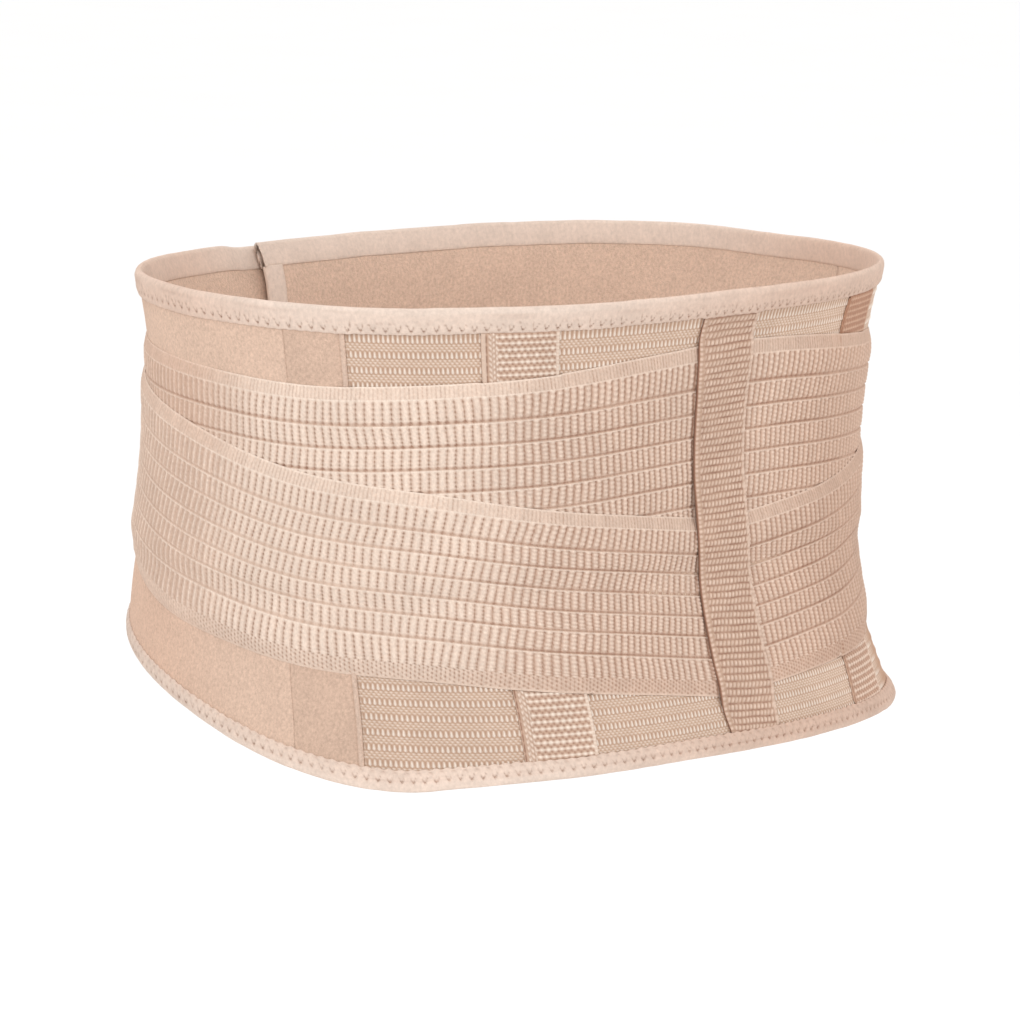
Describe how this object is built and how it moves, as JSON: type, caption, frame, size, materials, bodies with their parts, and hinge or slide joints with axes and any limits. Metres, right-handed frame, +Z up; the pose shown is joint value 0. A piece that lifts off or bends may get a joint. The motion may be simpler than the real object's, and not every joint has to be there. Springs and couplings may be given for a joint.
{
  "type": "maternity belt",
  "caption": "Closed waist support belt with a ribbed net back, upright stay tapes, crossing elastic pull bands, velour wings and a hook-and-loop front.",
  "frame": {"origin": "on the axis of the hollow that the torso fills, at the belt's mid height", "axes": "+Z up, +Y the wearer's front, +X the wearer's right"},
  "size_m": [0.354, 0.298, 0.1989],
  "materials": {
    "net": "ribbed open net, matte",
    "velour": "brushed loop velour, matte",
    "binding": "soft knitted edging with zigzag stitching",
    "hook": "plain hook-and-loop, matte",
    "stay_tape": "woven tape with a checker of raised loops",
    "centre_tape": "woven tape with cross ribs",
    "elastic": "ribbed woven elastic",
    "tab": "brushed velour tab"
  },
  "bodies": {
    "root": {"back_net": "net", "side_strip_left": "velour", "side_strip_right": "velour", "side_panel_left": "velour", "side_panel_right": "velour", "end_binding_left": "binding", "end_binding_right": "binding", "top_binding": "binding", "bottom_binding": "binding", "front_hook_patch": "hook", "stay_tape_left": "stay_tape", "stay_tape_right": "stay_tape", "centre_tape": "centre_tape", "band_upper_left": "elastic", "band_upper_right": "elastic", "band_lower_left": "elastic", "band_lower_right": "elastic", "band_tab_left": "tab", "band_tab_right": "tab"}
  },
  "joints": []
}
